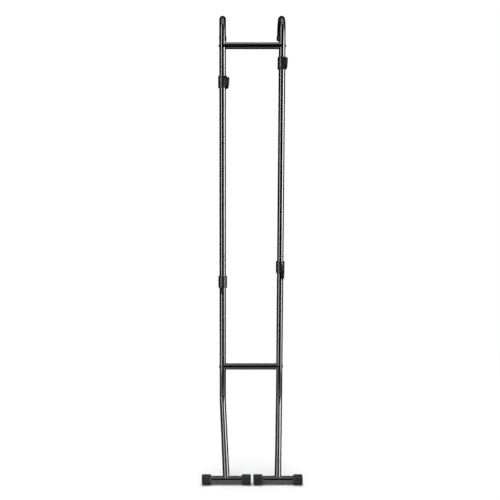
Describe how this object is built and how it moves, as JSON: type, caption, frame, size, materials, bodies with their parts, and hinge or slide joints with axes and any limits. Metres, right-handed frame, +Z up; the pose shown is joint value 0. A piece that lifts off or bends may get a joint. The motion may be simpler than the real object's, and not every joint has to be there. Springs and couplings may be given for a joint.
{
  "type": "bike storage tower",
  "caption": "Leaning bike storage tower: cane-topped steel poles on T-shaped feet, joined by crossbars, with hook arms that slide and swing to hold bicycles by the top tube.",
  "frame": {"origin": "floor level, in the middle of the tower's width and of its depth from the front of the feet to the wall", "axes": "+Z up, +X to the right as seen from the front, +Y towards the wall; the hooks point to -Y"},
  "size_m": [0.484, 0.3808, 2.2397],
  "materials": {
    "gloss_black_steel": "glossy black powder coat",
    "satin_black_steel": "satin black powder coat",
    "black_zinc_steel": "black zinc plating",
    "lining_plastic": "fine matt black",
    "soft_cover": "soft dipped vinyl, slightly satin",
    "foot_rubber": "matt dark grey rubber",
    "knob_plastic": "moulded black plastic"
  },
  "bodies": {
    "frame": {"left_cane_tube": "gloss_black_steel", "left_upper_pole": "gloss_black_steel", "left_lower_pole": "gloss_black_steel", "left_leg_tube": "gloss_black_steel", "left_foot_tube": "gloss_black_steel", "left_wall_boot": "foot_rubber", "left_inner_foot_cap": "foot_rubber", "left_outer_foot_cap": "foot_rubber", "right_cane_tube": "gloss_black_steel", "right_upper_pole": "gloss_black_steel", "right_lower_pole": "gloss_black_steel", "right_leg_tube": "gloss_black_steel", "right_foot_tube": "gloss_black_steel", "right_wall_boot": "foot_rubber", "right_inner_foot_cap": "foot_rubber", "right_outer_foot_cap": "foot_rubber", "top_crossbar": "gloss_black_steel", "top_left_plug": "lining_plastic", "top_left_bolt": "black_zinc_steel", "top_right_plug": "lining_plastic", "top_right_bolt": "black_zinc_steel", "lower_crossbar": "gloss_black_steel", "lower_left_plug": "lining_plastic", "lower_left_bolt": "black_zinc_steel", "lower_right_plug": "lining_plastic", "lower_right_bolt": "black_zinc_steel"},
    "left_upper_slider": {"left_upper_bush": "lining_plastic"},
    "left_upper_arm": {"left_upper_collar": "satin_black_steel", "left_upper_hook_rod": "satin_black_steel", "left_upper_hook_cover": "soft_cover"},
    "left_upper_knob": {"left_upper_knob_screw": "black_zinc_steel", "left_upper_knob_grip": "knob_plastic"},
    "right_upper_slider": {"right_upper_bush": "lining_plastic"},
    "right_upper_arm": {"right_upper_collar": "satin_black_steel", "right_upper_hook_rod": "satin_black_steel", "right_upper_hook_cover": "soft_cover"},
    "right_upper_knob": {"right_upper_knob_screw": "black_zinc_steel", "right_upper_knob_grip": "knob_plastic"},
    "left_lower_slider": {"left_lower_bush": "lining_plastic"},
    "left_lower_arm": {"left_lower_collar": "satin_black_steel", "left_lower_hook_rod": "satin_black_steel", "left_lower_hook_cover": "soft_cover"},
    "left_lower_knob": {"left_lower_knob_screw": "black_zinc_steel", "left_lower_knob_grip": "knob_plastic"},
    "right_lower_slider": {"right_lower_bush": "lining_plastic"},
    "right_lower_arm": {"right_lower_collar": "satin_black_steel", "right_lower_hook_rod": "satin_black_steel", "right_lower_hook_cover": "soft_cover"},
    "right_lower_knob": {"right_lower_knob_screw": "black_zinc_steel", "right_lower_knob_grip": "knob_plastic"}
  },
  "joints": [
    {"name": "left_upper_slide", "type": "slide", "parent": "frame", "child": "left_upper_slider", "axis": [0, 0, 1], "range_m": [-0.525, 0.123]},
    {"name": "left_upper_swing", "type": "hinge", "parent": "left_upper_slider", "child": "left_upper_arm", "pos_m": [-0.142, 0.04299, 1.92], "axis": [0, 0, 1], "range_deg": [-70.5, 49.5]},
    {"name": "left_upper_knob_turn", "type": "hinge", "parent": "left_upper_arm", "child": "left_upper_knob", "pos_m": [-0.142, 0.04299, 1.92], "axis": [-0.1822, 0.9833, 0], "range_deg": [0, 540]},
    {"name": "right_upper_slide", "type": "slide", "parent": "frame", "child": "right_upper_slider", "axis": [0, 0, 1], "range_m": [-0.613, 0.035]},
    {"name": "right_upper_swing", "type": "hinge", "parent": "right_upper_slider", "child": "right_upper_arm", "pos_m": [0.142, 0.04299, 2.008], "axis": [0, 0, 1], "range_deg": [-64, 56]},
    {"name": "right_upper_knob_turn", "type": "hinge", "parent": "right_upper_arm", "child": "right_upper_knob", "pos_m": [0.142, 0.04299, 2.008], "axis": [-0.0698, 0.9976, 0], "range_deg": [0, 540]},
    {"name": "left_lower_slide", "type": "slide", "parent": "frame", "child": "left_lower_slider", "axis": [0, 0, 1], "range_m": [-0.384, 0.369]},
    {"name": "left_lower_swing", "type": "hinge", "parent": "left_lower_slider", "child": "left_lower_arm", "pos_m": [-0.142, 0.04299, 0.951], "axis": [0, 0, 1], "range_deg": [-60, 60]},
    {"name": "left_lower_knob_turn", "type": "hinge", "parent": "left_lower_arm", "child": "left_lower_knob", "pos_m": [-0.142, 0.04299, 0.951], "axis": [0, 1, 0], "range_deg": [0, 540]},
    {"name": "right_lower_slide", "type": "slide", "parent": "frame", "child": "right_lower_slider", "axis": [0, 0, 1], "range_m": [-0.4575, 0.2955]},
    {"name": "right_lower_swing", "type": "hinge", "parent": "right_lower_slider", "child": "right_lower_arm", "pos_m": [0.142, 0.04299, 1.0245], "axis": [0, 0, 1], "range_deg": [-61.5, 58.5]},
    {"name": "right_lower_knob_turn", "type": "hinge", "parent": "right_lower_arm", "child": "right_lower_knob", "pos_m": [0.142, 0.04299, 1.0245], "axis": [-0.0262, 0.9997, 0], "range_deg": [0, 540]}
  ]
}
